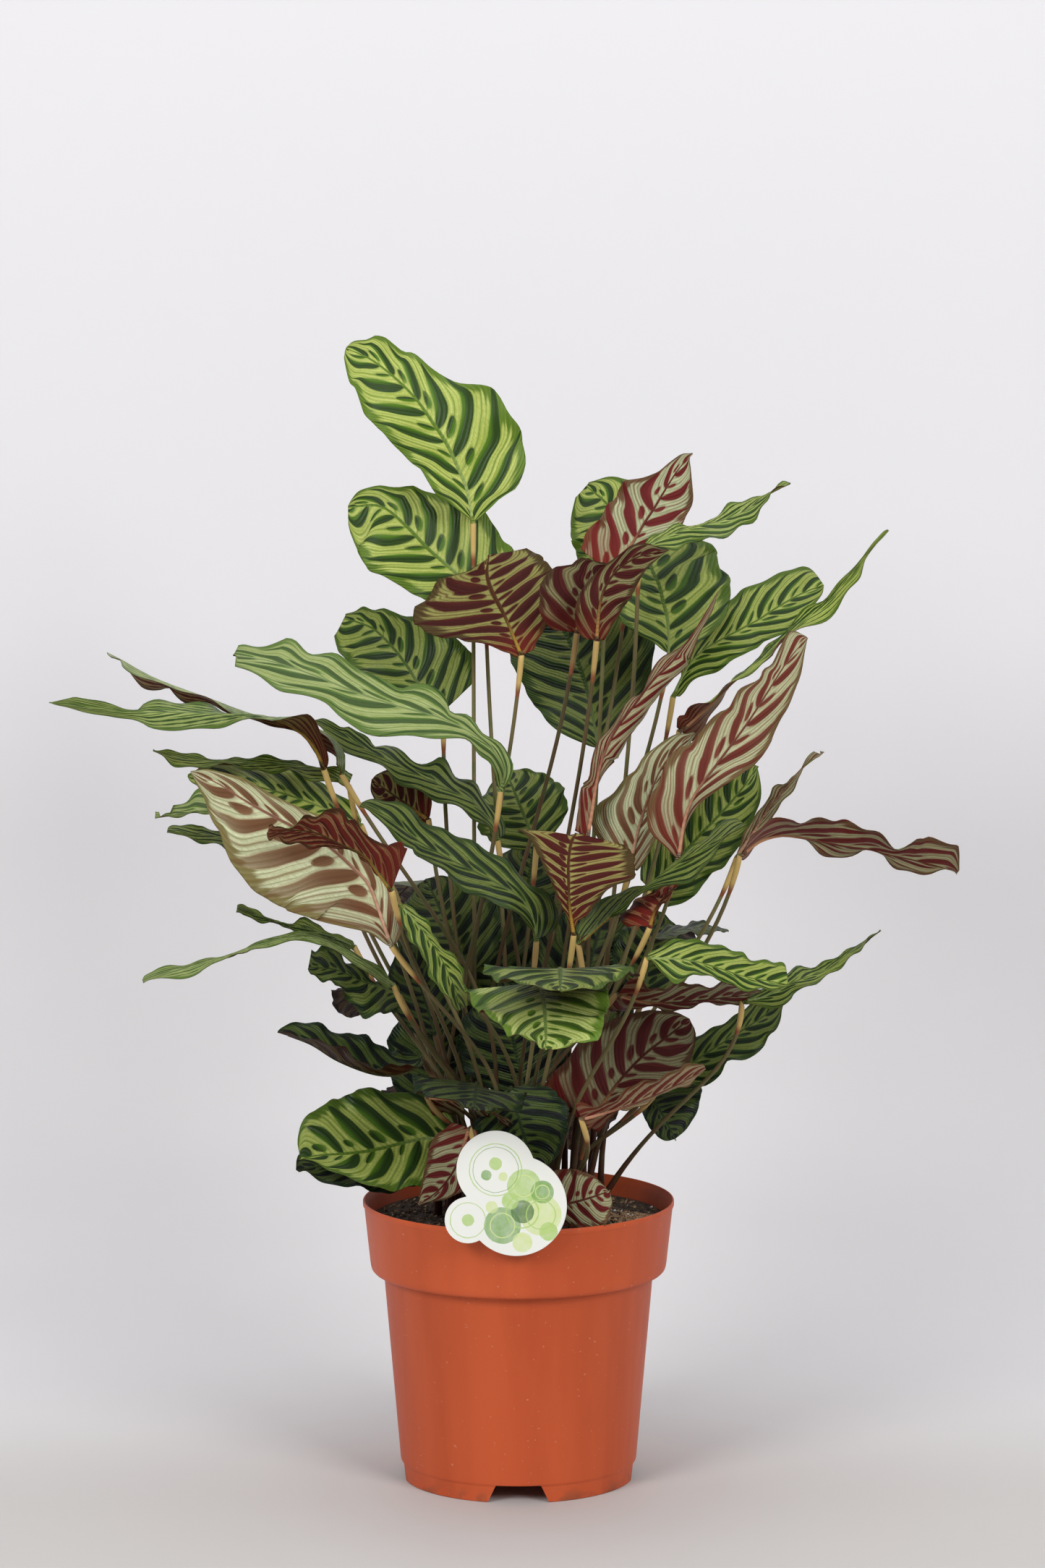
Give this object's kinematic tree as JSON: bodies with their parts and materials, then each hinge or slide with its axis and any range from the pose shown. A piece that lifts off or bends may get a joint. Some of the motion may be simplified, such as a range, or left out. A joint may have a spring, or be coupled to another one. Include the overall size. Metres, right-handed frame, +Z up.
{
  "type": "potted peacock plant",
  "caption": "Leafy peacock plant with striped green and burgundy blades on thin stalks, standing in soil in a round plastic nursery pot with a blank-faced plant label.",
  "frame": {"origin": "centre of the pot's foot, on the surface it stands on", "axes": "+Z up along the pot's axis, -Y towards the front, where the label is"},
  "size_m": [0.5964, 0.4536, 0.7638],
  "materials": {
    "pot": "satin",
    "soil": "matte",
    "label": "satin",
    "leaf": "satin"
  },
  "bodies": {
    "root": {"pot": "pot", "soil": "soil", "label": "label", "leaf_crown_high": "leaf", "leaf_crown_low_a": "leaf", "leaf_crown_low_b": "leaf", "leaf_crown_middle": "leaf", "leaf_crown_red": "leaf", "leaf_crown_thin_right": "leaf", "leaf_front_drooping": "leaf", "leaf_front_face": "leaf", "leaf_front_fan": "leaf", "leaf_front_flat": "leaf", "leaf_front_left": "leaf", "leaf_front_low": "leaf", "leaf_front_right_thin": "leaf", "leaf_front_small_red": "leaf", "leaf_label_left": "leaf", "leaf_label_right": "leaf", "leaf_left_dark": "leaf", "leaf_left_edge": "leaf", "leaf_left_green_a": "leaf", "leaf_left_high_thin": "leaf", "leaf_left_light": "leaf", "leaf_left_long_thin": "leaf", "leaf_left_low_thin": "leaf", "leaf_left_pale": "leaf", "leaf_left_purple": "leaf", "leaf_left_red": "leaf", "leaf_left_small_thin": "leaf", "leaf_left_wavy": "leaf", "leaf_low_burgundy": "leaf", "leaf_low_right_flap": "leaf", "leaf_low_right_red": "leaf", "leaf_right_burgundy": "leaf", "leaf_right_far": "leaf", "leaf_right_green": "leaf", "leaf_right_light": "leaf", "leaf_right_long": "leaf", "leaf_right_low_long": "leaf", "leaf_right_pale": "leaf", "leaf_right_pink_thin": "leaf", "leaf_right_red": "leaf", "leaf_right_rolled": "leaf", "leaf_right_twisted": "leaf", "leaves_back_a": "leaf", "leaves_back_b": "leaf", "leaves_back_e": "leaf", "leaves_back_g": "leaf", "leaves_crown_back_right": "leaf", "leaves_crown_fourth": "leaf", "leaves_crown_second": "leaf", "leaves_left_green_b": "leaf", "leaves_low_left": "leaf", "leaves_low_middle": "leaf", "leaves_low_right_green": "leaf", "leaves_middle_b": "leaf", "leaves_middle_dark": "leaf", "leaves_middle_high": "leaf", "leaves_right_small_tip": "leaf"}
  },
  "joints": []
}
